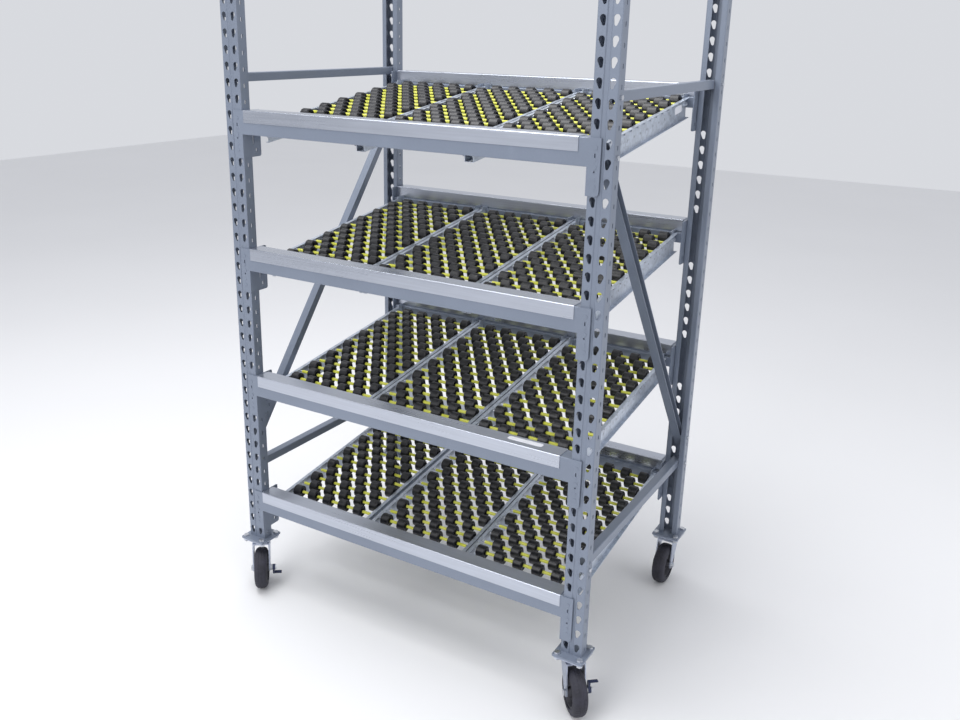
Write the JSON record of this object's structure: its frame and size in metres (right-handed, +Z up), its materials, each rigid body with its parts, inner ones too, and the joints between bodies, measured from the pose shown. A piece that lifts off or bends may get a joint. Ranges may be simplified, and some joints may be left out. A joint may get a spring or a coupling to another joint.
{
  "type": "mobile gravity flow rack",
  "caption": "Tall steel rack on swivel casters with sloping levels of small free-turning rollers between perforated posts, for cartons or plant trays that roll forwards.",
  "frame": {"origin": "on the floor under the middle of the object's bounding box", "axes": "+Z up, -Y towards the low end of the sloping lanes (the front), +X to the right seen from the front"},
  "size_m": [1.4339, 1.0231, 2.3305],
  "materials": {
    "frame_steel": "smooth bluish grey coating, slightly glossy",
    "lane_steel": "zinc-coated sheet, satin",
    "guard_strip": "bright zinc-coated strip",
    "bright_steel": "bright zinc-plated",
    "caster_steel": "zinc-plated pressing",
    "brake_lever": "dark coated steel",
    "roller": "black plastic, slightly glossy",
    "spacer": "yellow plastic",
    "tyre": "dark grey rubber",
    "wheel_hub": "dark moulded core"
  },
  "bodies": {
    "frame": {"axles_1": "bright_steel", "axles_2": "bright_steel", "axles_3": "bright_steel", "axles_4": "bright_steel", "beam_connectors": "frame_steel", "beams_1": "frame_steel", "beams_2": "frame_steel", "beams_3": "frame_steel", "beams_4": "frame_steel", "caster_bolts": "bright_steel", "caster_plates": "caster_steel", "connector_studs": "frame_steel", "diagonal_struts": "frame_steel", "foot_plates": "frame_steel", "guard_strips": "guard_strip", "lane_bolts": "bright_steel", "lane_hooks": "lane_steel", "lane_rails_1": "lane_steel", "lane_rails_2": "lane_steel", "lane_rails_3": "lane_steel", "lane_rails_4": "lane_steel", "post_back_left": "frame_steel", "post_back_right": "frame_steel", "post_front_left": "frame_steel", "post_front_right": "frame_steel", "rollers_1": "roller", "rollers_2": "roller", "rollers_3": "roller", "rollers_4": "roller", "side_struts": "frame_steel", "spacers_1": "spacer", "spacers_2": "spacer", "spacers_3": "spacer", "spacers_4": "spacer", "strut_bolts": "bright_steel"},
    "brake_front_left": {"brake_lever_front_left": "brake_lever"},
    "brake_front_right": {"brake_lever_front_right": "brake_lever"},
    "swivel_back_left": {"fork_back_left": "caster_steel", "wheel_axle_back_left": "bright_steel"},
    "swivel_back_right": {"fork_back_right": "caster_steel", "wheel_axle_back_right": "bright_steel"},
    "swivel_front_left": {"fork_front_left": "caster_steel", "wheel_axle_front_left": "bright_steel"},
    "swivel_front_right": {"fork_front_right": "caster_steel", "wheel_axle_front_right": "bright_steel"},
    "roller_row_1": {"front_rollers_1": "roller"},
    "roller_row_2": {"front_rollers_2": "roller"},
    "roller_row_3": {"front_rollers_3": "roller"},
    "roller_row_4": {"front_rollers_4": "roller"},
    "wheel_back_left": {"hub_back_left": "wheel_hub", "tyre_back_left": "tyre"},
    "wheel_back_right": {"hub_back_right": "wheel_hub", "tyre_back_right": "tyre"},
    "wheel_front_left": {"hub_front_left": "wheel_hub", "tyre_front_left": "tyre"},
    "wheel_front_right": {"hub_front_right": "wheel_hub", "tyre_front_right": "tyre"}
  },
  "joints": [
    {"name": "swivel_front_left", "type": "hinge", "parent": "frame", "child": "swivel_front_left", "pos_m": [-0.665, -0.41255, 0.17], "axis": [0, 0, 1], "continuous": true},
    {"name": "wheel_front_left", "type": "hinge", "parent": "swivel_front_left", "child": "wheel_front_left", "pos_m": [-0.6416, -0.44249, 0.0762], "axis": [0.788, 0.6157, 0], "continuous": true},
    {"name": "brake_front_left", "type": "hinge", "parent": "swivel_front_left", "child": "brake_front_left", "pos_m": [-0.6416, -0.44249, 0.0762], "axis": [0.788, 0.6157, 0], "range_deg": [-110, 0]},
    {"name": "swivel_front_right", "type": "hinge", "parent": "frame", "child": "swivel_front_right", "pos_m": [0.629, -0.41255, 0.17], "axis": [0, 0, 1], "continuous": true},
    {"name": "wheel_front_right", "type": "hinge", "parent": "swivel_front_right", "child": "wheel_front_right", "pos_m": [0.65443, -0.44079, 0.0762], "axis": [0.7431, 0.6691, 0], "continuous": true},
    {"name": "brake_front_right", "type": "hinge", "parent": "swivel_front_right", "child": "brake_front_right", "pos_m": [0.65443, -0.44079, 0.0762], "axis": [0.7431, 0.6691, 0], "range_deg": [0, 110]},
    {"name": "swivel_back_left", "type": "hinge", "parent": "frame", "child": "swivel_back_left", "pos_m": [-0.665, 0.46055, 0.17], "axis": [0, 0, 1], "continuous": true},
    {"name": "wheel_back_left", "type": "hinge", "parent": "swivel_back_left", "child": "wheel_back_left", "pos_m": [-0.646, 0.42764, 0.0762], "axis": [0.866, 0.5, 0], "continuous": true},
    {"name": "swivel_back_right", "type": "hinge", "parent": "frame", "child": "swivel_back_right", "pos_m": [0.629, 0.46055, 0.17], "axis": [0, 0, 1], "continuous": true},
    {"name": "wheel_back_right", "type": "hinge", "parent": "swivel_back_right", "child": "wheel_back_right", "pos_m": [0.629, 0.42255, 0.0762], "axis": [1, 0, 0], "continuous": true},
    {"name": "roller_row_1", "type": "hinge", "parent": "frame", "child": "roller_row_1", "pos_m": [0, -0.29341, 0.35428], "axis": [1, 0, 0], "continuous": true},
    {"name": "roller_row_2", "type": "hinge", "parent": "frame", "child": "roller_row_2", "pos_m": [0, -0.29341, 0.81148], "axis": [1, 0, 0], "continuous": true},
    {"name": "roller_row_3", "type": "hinge", "parent": "frame", "child": "roller_row_3", "pos_m": [0, -0.29341, 1.26868], "axis": [1, 0, 0], "continuous": true},
    {"name": "roller_row_4", "type": "hinge", "parent": "frame", "child": "roller_row_4", "pos_m": [0, -0.29341, 1.72588], "axis": [1, 0, 0], "continuous": true}
  ]
}
